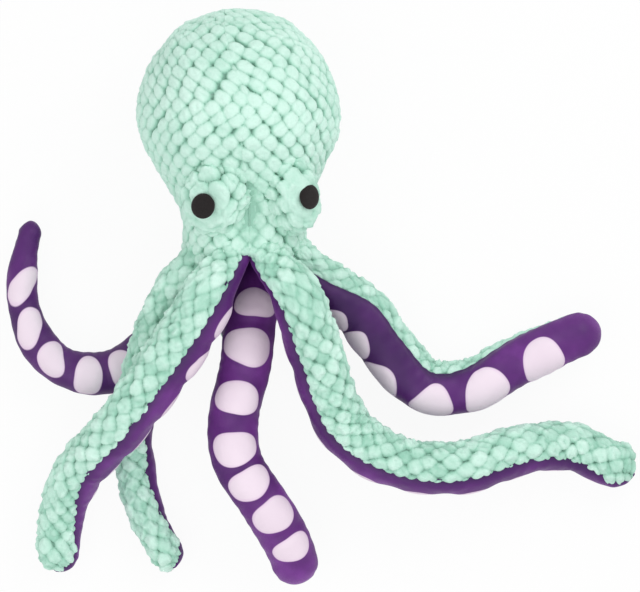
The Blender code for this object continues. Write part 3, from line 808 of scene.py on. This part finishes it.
def eye_mound(head, side, finish):
    """An eye mound: an oval ball whose front stands out of the head, with lobes in rings round the eye."""
    centre, (wide, long, deep), lean = mound_seat(head, side)
    centre, long = centre + [0.0, MOUND_LIFT, 0.0], long * MOUND_STRETCH
    rows, columns = int(pi * wide / 2 / FINE), int(pi * wide / FINE)
    base, down, round_it = cushion(centre, lean, MOUND_TILT, (wide, long, deep), 0.52, rows, columns)
    reach = down * wide / 2
    u, v = reach * np.cos(round_it), reach * np.sin(round_it) * long / wide
    seed = 31 if side == "left" else 33
    height, tone = petals(u, v - PETALS_FROM[side], seed)
    ruffle = fluff(u, v, seed)
    rise = height * MOUND_PUFF_HEIGHT - MOUND_PUFF_SINK + MOUND_LUMPS * lumps(u, v, MOUND_LUMP_SIZE, seed)
    rise += MOUND_RUFFLE * ruffle
    # Painted light and shade: the pile's raised tufts are drawn paler and its dips darker, and the whole
    # mound darker
    height = (height + 0.18 * ruffle) * MOUND_PAINTED_SHADE
    outer = close_ends(base + unit(base - centre) * rise[..., None])
    return closed_skin(side + "_eye_mound", outer, finish, {"painted_puff_light": (height, 0.0), "tone": (tone, 0.0)})


def eye(head, side, finish):
    """A felt eye: a round cushion with a full edge, seated on its mound."""
    centre, (_, _, deep), _ = mound_seat(head, side)
    up, lean = EYE_SHARES[side]
    right, outward = leaned(lean)
    aside, above = EYE_OFFSETS[side]
    seat = centre + outward * (deep / 2 + EYE_PROUD) + right * aside + [0, up * MOUND_LENGTH + above, 0]
    size = EYE_WIDTH, EYE_WIDTH, EYE_THICKNESS
    points, _, _ = cushion(seat, lean, EYE_TILT, size, 0.5, EYE_ROWS, EYE_COLUMNS)
    return closed_skin(side + "_eye", close_ends(points), finish)


def base_panel(head, finish):
    """The panel in the middle of the ring of arms: a shallow knit dish, puckered towards its edge."""
    radius = head.ring_radius - head.root_radius - 0.3 * MM
    front = np.linspace(0, 1, PANEL_ROWS)
    share = np.concatenate([front, front[::-1]])[:, None]
    side = np.repeat([-1.0, 1.0], PANEL_ROWS)[:, None]
    turn = np.linspace(0, tau, PANEL_COLUMNS, endpoint=False)[None, :]
    pucker = 0.35 * MM * np.sin(turn * 16) * share ** 2
    y = -NECK_REACH - 2.2 * MM + side * 0.7 * MM * (1 - share ** 6) + pucker
    across, high = radius * share * np.cos(turn), radius * share * np.sin(turn)
    points = close_ends(np.stack([head.neck[0] + across, y, head.neck[2] + high], axis=-1))
    threads = (points - head.neck)[..., [0, 2, 1]]
    plain = np.full(points.shape[:2], NO_DISC)
    return closed_skin("base_panel", points, finish, {"disc": (plain, NO_DISC), "threads": (threads, 0.0)})


def colour(code, alpha=1.0):
    """A colour written as six hexadecimal digits, as the light values that the shader reads."""
    parts = np.array([int(code[k:k + 2], 16) for k in (0, 2, 4)]) / 255
    linear = np.where(parts <= 0.04045, parts / 12.92, ((parts + 0.055) / 1.055) ** 2.4)
    return (*linear.tolist(), alpha)


class Finish:
    """A material whose nodes are added one by one."""

    def __init__(self, name, **sockets):
        self.material = bpy.data.materials.new(name)
        self.material.use_nodes = True
        self.tree = self.material.node_tree
        self.shader = self.tree.nodes["Principled BSDF"]
        for key, value in sockets.items():
            self.shader.inputs[key.replace("_", " ")].default_value = value

    def node(self, kind, inputs=None, **settings):
        """A node with its settings, and with each input set to a value or joined to another node's output."""
        made = self.tree.nodes.new(kind)
        for key, value in settings.items():
            setattr(made, key, value)
        for key, value in (inputs or {}).items():
            if isinstance(value, bpy.types.NodeSocket):
                self.tree.links.new(value, made.inputs[key])
            else:
                made.inputs[key].default_value = value
        return made

    def attribute(self, name, output="Fac"):
        """What the piece's own attribute holds."""
        return self.node("ShaderNodeAttribute", attribute_name=name).outputs[output]

    def object_place(self):
        """Places on the piece in metres."""
        return self.node("ShaderNodeTexCoord").outputs["Object"]

    def ramp(self, value, *stops):
        """Colours at places from 0 to 1, mixed between them."""
        made = self.node("ShaderNodeValToRGB", {"Fac": value})
        stretch = made.color_ramp.elements
        while len(stretch) < len(stops):
            stretch.new(0.5)
        for element, (place, code) in zip(stretch, stops):
            element.position = place
            element.color = colour(code)
        return made.outputs["Color"]

    def noise(self, vector, scale, detail=2.0, roughness=0.5):
        """Cloudy noise with so many clouds a metre."""
        inputs = {"Vector": vector, "Scale": scale, "Detail": detail, "Roughness": roughness}
        return self.node("ShaderNodeTexNoise", inputs).outputs["Fac"]

    def reach(self, value, low, high, start=0.0, end=1.0):
        """A value from low to high as one from start to end."""
        inputs = {"Value": value, "From Min": low, "From Max": high, "To Min": start, "To Max": end}
        return self.node("ShaderNodeMapRange", inputs).outputs["Result"]

    def mix(self, share, first, second):
        """Two colours mixed."""
        return self.node("ShaderNodeMix", {0: share, 6: first, 7: second}, data_type="RGBA").outputs[2]

    def tint(self, first, value, low, high, start, end, code):
        """A colour with another mixed in, from start to end as a value goes from low to high."""
        return self.mix(self.reach(value, low, high, start, end), first, colour(code))

    def bump(self, height, distance, strength, below=None):
        """Fine relief."""
        inputs = {"Height": height, "Distance": distance, "Strength": strength}
        if below is not None:
            inputs["Normal"] = below
        return self.node("ShaderNodeBump", inputs).outputs["Normal"]

    def join(self, output, name):
        """Join an output to the shader."""
        self.tree.links.new(output, self.shader.inputs[name])


def mint_plush():
    """Bubble plush: a deep green painted shade between the bubbles and a pale painted highlight on them,
    both from the bubble height; each bubble a little its own tone, and a short pile that breaks up the light."""
    made = Finish("mint bubble plush", Roughness=0.92, Sheen_Weight=0.35, Sheen_Roughness=0.45,
                  Specular_IOR_Level=0.12, Sheen_Tint=colour("E6FFF4"))
    place = made.object_place()
    pile = made.noise(place, 900, 4, 0.65)
    tufts = made.noise(place, 330, 4, 0.65)
    cloud = made.noise(place, 34)
    own = made.attribute("tone")
    painted_puff_light = made.attribute("painted_puff_light")
    # Painted shade in the gaps and painted highlight on the bubble tops, from the bubble height
    tint = made.ramp(painted_puff_light, (0, "6E9B89"), (0.45, "98CBB6"), (0.72, "BFE6D6"), (0.95, "D4F3E7"))
    tint = made.tint(tint, own, 0, 1, 0, 0.25, "DDF6EC")
    tint = made.tint(tint, cloud, 0.35, 0.7, 0, 0.25, "ABDCC8")
    made.join(made.tint(tint, pile, 0.3, 0.7, 0.14, 0, "8FC7B0"), "Base Color")
    relief = made.bump(tufts, 0.0016, 0.55)
    made.join(made.bump(pile, 0.0005, 0.6, relief), "Normal")
    return made.material


def purple_knit():
    """Smooth stretch knit: a deep purple with fine ribs along the arm and a satin sheen, painted shade at the
    seams and a painted shadow along part of some arms, and pale discs with a pinkish rim."""
    made = Finish("purple stretch knit", Roughness=0.5, Sheen_Weight=0.2, Sheen_Roughness=0.35,
                  Specular_IOR_Level=0.35, Sheen_Tint=colour("C9A2E6"))
    place = made.object_place()
    threads = made.attribute("threads", "Vector")
    disc = made.attribute("disc")
    cloud = made.noise(place, 26, 3, 0.55)
    grain = made.noise(place, 1900)
    cloth = made.ramp(cloud, (0.3, "4A1862"), (0.5, "602577"), (0.7, "7E3A98"))
    # Painted shade near the seams and painted shadow on parts of some arms darken the knit
    cloth = made.tint(cloth, made.attribute("seam"), 0, 1, 0, 0.75, "260A3E")
    pale = made.mix(made.reach(cloud, 0.3, 0.7, 0, 0.5), colour("E9DAE6"), colour("DCCAD9"))
    pale = made.tint(pale, disc, 0.1, 1.5, 0.75, 0, "DCC0DC")
    cloth = made.tint(cloth, grain, 0.3, 0.7, 0, 0.18, "3B1A5C")
    tint = made.mix(made.reach(disc, -0.22, 0.22), cloth, pale)
    made.join(tint, "Base Color")
    waves = {"Vector": threads, "Scale": 420, "Distortion": 0.6, "Detail": 1}
    ribs = made.node("ShaderNodeTexWave", waves).outputs["Fac"]
    relief = made.bump(made.noise(place, 75), 0.0022, 0.35)
    relief = made.bump(ribs, 0.00008, 0.35, relief)
    made.join(made.bump(grain, 0.00012, 0.4, relief), "Normal")
    return made.material


def black_felt():
    """Matte black felt: matted fibres, a trace of grey where they catch the light."""
    made = Finish("black felt", Roughness=0.95, Sheen_Weight=0.12, Sheen_Roughness=0.5,
                  Specular_IOR_Level=0.15)
    place = made.object_place()
    fibres = made.noise(place, 1600, 5, 0.7)
    made.join(made.ramp(fibres, (0.3, "1B1818"), (0.7, "2C2828")), "Base Color")
    made.join(made.bump(fibres, 0.0004, 0.6), "Normal")
    return made.material


def stuffing():
    """White polyester fibre in soft tangles."""
    made = Finish("polyester stuffing", Roughness=0.9, Sheen_Weight=0.3, Specular_IOR_Level=0.2)
    place = made.object_place()
    tangle = made.noise(place, 260, 6, 0.7)
    made.join(made.ramp(tangle, (0.3, "D2D2CC"), (0.7, "F2F2EE")), "Base Color")
    made.join(made.bump(tangle, 0.0012, 0.7), "Normal")
    return made.material


def settle(piece, nodes, body):
    """A piece stands for its nodes, which are hidden, and rides on its body when that is a name; otherwise
    its place is baked into its points.
    """
    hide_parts(*nodes)
    if isinstance(body, str):
        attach(piece, body)
    else:
        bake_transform(piece)


def build():
    """Every piece of the octopus."""
    mint, purple, felt, white = mint_plush(), purple_knit(), black_felt(), stuffing()
    head = Head()
    for side, direction in (("right", 1), ("left", -1)):
        half = head_panel(head, f"head_{side}_half", direction, mint)
        settle(half, [f"head_{side}_panel"], "head")
    settle(head_filling(head, white), ["head_filling"], "head")
    settle(base_panel(head, purple), ["base_panel"], "head")
    for side in ("left", "right"):
        settle(eye_mound(head, side, mint), [side + "_eye_mound"], "head")
        settle(eye(head, side, felt), [side + "_eye"], "head")
    for place, name in enumerate(ARMS):
        arm = Arm(name, place, head)
        middle = arm.route.at(arm.bend_at)
        ahead = arm.route.heading(arm.bend_at) * BEND_HALF
        inner, outer = name + "_inner", name + "_outer"
        bodies = inner, outer, tuple(middle - ahead), tuple(middle + ahead)
        for kind, made, slot_name in (
            ("_top", arm_top(arm, mint), "mint_plush"),
            ("_underside", arm_underside(arm, purple), "purple_knit"),
            ("_filling", arm_filling(arm, white), "stuffing"),
        ):
            settle(made, [inner + kind, outer + kind], bodies)


def stage():
    """A pale floor under the toy. The camera sees it nearly white, with the toy's soft shadow kept."""
    mesh = bpy.data.meshes.new("floor")
    far = 12.0
    corners = [(x * far, y * far, -0.4 * MM) for x, y in ((-1, -1), (1, -1), (1, 1), (-1, 1))]
    mesh.from_pydata(corners, [], [(0, 1, 2, 3)])
    floor = bpy.data.objects.new("floor", mesh)
    bpy.context.scene.collection.objects.link(floor)
    made = Finish("pale floor", Roughness=1.0, Specular_IOR_Level=0.0, Base_Color=(0.8, 0.8, 0.8, 1.0))
    rays = made.node("ShaderNodeLightPath").outputs
    kinds = {0: rays["Is Camera Ray"], 1: rays["Is Glossy Ray"]}
    seen = made.node("ShaderNodeMath", kinds, operation="MAXIMUM").outputs[0]
    glow = made.node("ShaderNodeEmission").outputs[0]
    shown = made.node("ShaderNodeMixShader", {"Fac": 0.93, 1: made.shader.outputs[0], 2: glow}).outputs[0]
    both = made.node("ShaderNodeMixShader", {"Fac": seen, 1: made.shader.outputs[0], 2: shown}).outputs[0]
    made.tree.links.new(both, made.tree.nodes["Material Output"].inputs["Surface"])
    mesh.materials.append(made.material)


def light_and_camera():
    """A pale surround, a soft lamp on the crown's right and a wider one opposite, and a long lens
    straight above, where the photograph's scale holds a little over the floor."""
    scene = bpy.context.scene
    world = bpy.data.worlds.new("pale studio")
    scene.world = world
    world.use_nodes = True
    tree = world.node_tree
    paths = tree.nodes.new("ShaderNodeLightPath")
    strength = tree.nodes.new("ShaderNodeMapRange")
    strength.inputs["To Min"].default_value = 0.8
    tree.links.new(paths.outputs["Is Camera Ray"], strength.inputs["Value"])
    tree.links.new(strength.outputs["Result"], tree.nodes["Background"].inputs["Strength"])
    tree.nodes["Background"].inputs["Color"].default_value = (1, 1, 1, 1)
    for name, spot, size, power in (
        ("key", (0.52, 0.48, 0.78), 0.5, 3.1),
        ("fill", (-0.28, -0.58, 0.92), 0.9, 3.2),
    ):
        lamp = bpy.data.lights.new(name, "AREA")
        lamp.size, lamp.energy = size, power
        holder = bpy.data.objects.new(name, lamp)
        holder.location = spot
        away = np.array(spot) - [0.04, -0.1, 0.02]
        holder.rotation_mode = "QUATERNION"
        holder.rotation_quaternion = Vector(away).to_track_quat("Z", "Y")
        scene.collection.objects.link(holder)
    lens = bpy.data.cameras.new("camera")
    camera = bpy.data.objects.new("camera", lens)
    scene.collection.objects.link(camera)
    lens.sensor_width = SENSOR
    lens.lens = SENSOR * (CAMERA_HEIGHT - SCALE_HEIGHT) / (PICTURE_WIDE * PIXEL)
    lens.clip_end = 50.0
    across = (PICTURE_WIDE / 2 - SEAM_COLUMN) * PIXEL - SEAM_TO_REST
    camera.location = (across, (WIDEST_ROW - PICTURE_HIGH / 2) * PIXEL, CAMERA_HEIGHT)
    scene.camera = camera
    scene.view_settings.view_transform = "Standard"


build()
stage()
light_and_camera()
